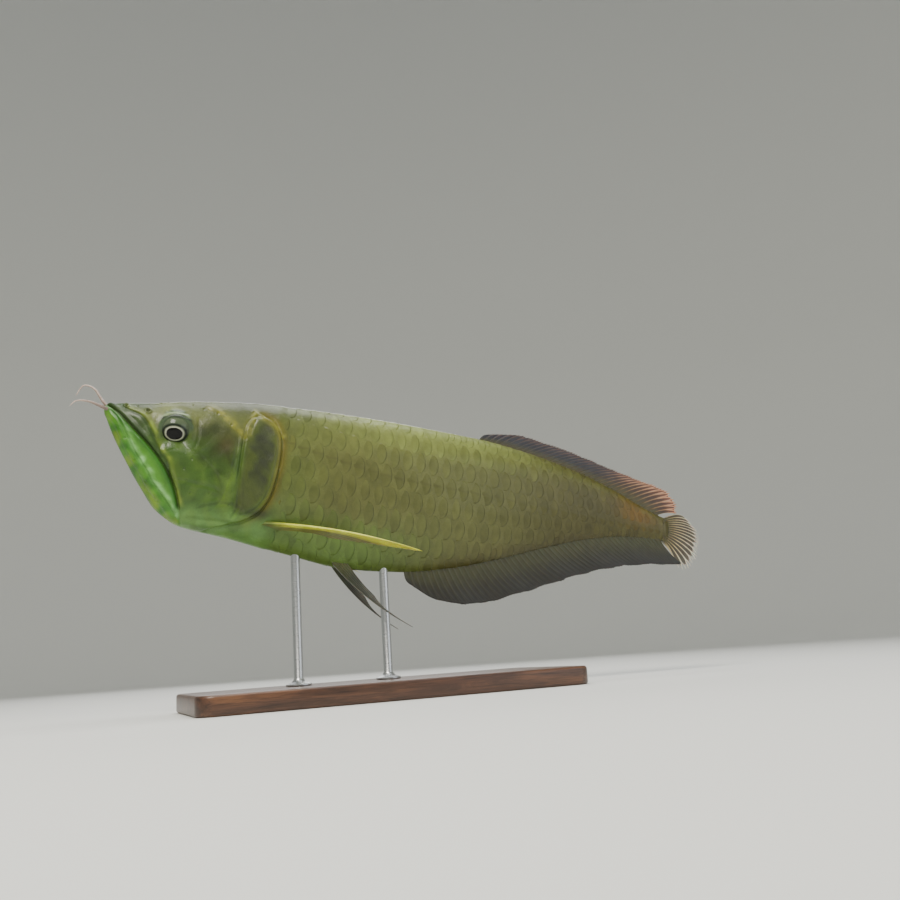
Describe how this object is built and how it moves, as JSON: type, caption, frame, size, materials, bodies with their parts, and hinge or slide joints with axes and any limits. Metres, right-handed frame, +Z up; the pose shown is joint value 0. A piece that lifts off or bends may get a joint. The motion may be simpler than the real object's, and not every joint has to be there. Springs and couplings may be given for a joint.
{
  "type": "silver arowana display model",
  "caption": "Life-size silver arowana swimming slightly nose-up, upturned mouth closed, long dorsal and anal fins reaching the small tail fin, held on a plain wooden stand by steel rods.",
  "frame": {"origin": "centre of the stand base's underside, on the floor", "axes": "+X from the fish's head towards its tail, +Z up, -Y towards the fish's left side, which the picture shows"},
  "size_m": [0.6287, 0.1782, 0.28],
  "materials": {
    "olive_skin": "wet, softly glossy, scaled",
    "green_jaw": "wet, smooth, glossy",
    "gill_skin": "wet, smooth, softly glossy",
    "eye": "wet, clear and glossy",
    "barbel_skin": "soft, moist",
    "rosy_fin": "thin rayed membrane, satin",
    "dark_fin": "thin rayed membrane, satin",
    "yellow_fin": "thin rayed membrane, satin",
    "stand_wood": "oiled walnut, satin",
    "stand_steel": "brushed"
  },
  "bodies": {
    "root": {"head": "olive_skin", "lower_jaw": "green_jaw", "gill_cover_left": "gill_skin", "gill_cover_right": "gill_skin", "trunk": "olive_skin", "tail": "olive_skin", "eye_left": "eye", "eye_right": "eye", "barbel_left": "barbel_skin", "barbel_right": "barbel_skin", "dorsal_fin": "rosy_fin", "anal_fin": "dark_fin", "caudal_fin": "rosy_fin", "pectoral_fin_left": "yellow_fin", "pectoral_fin_right": "yellow_fin", "pelvic_fin_left": "dark_fin", "pelvic_fin_right": "dark_fin", "stand_base": "stand_wood", "stand_rod_front": "stand_steel", "stand_rod_rear": "stand_steel"}
  },
  "joints": []
}
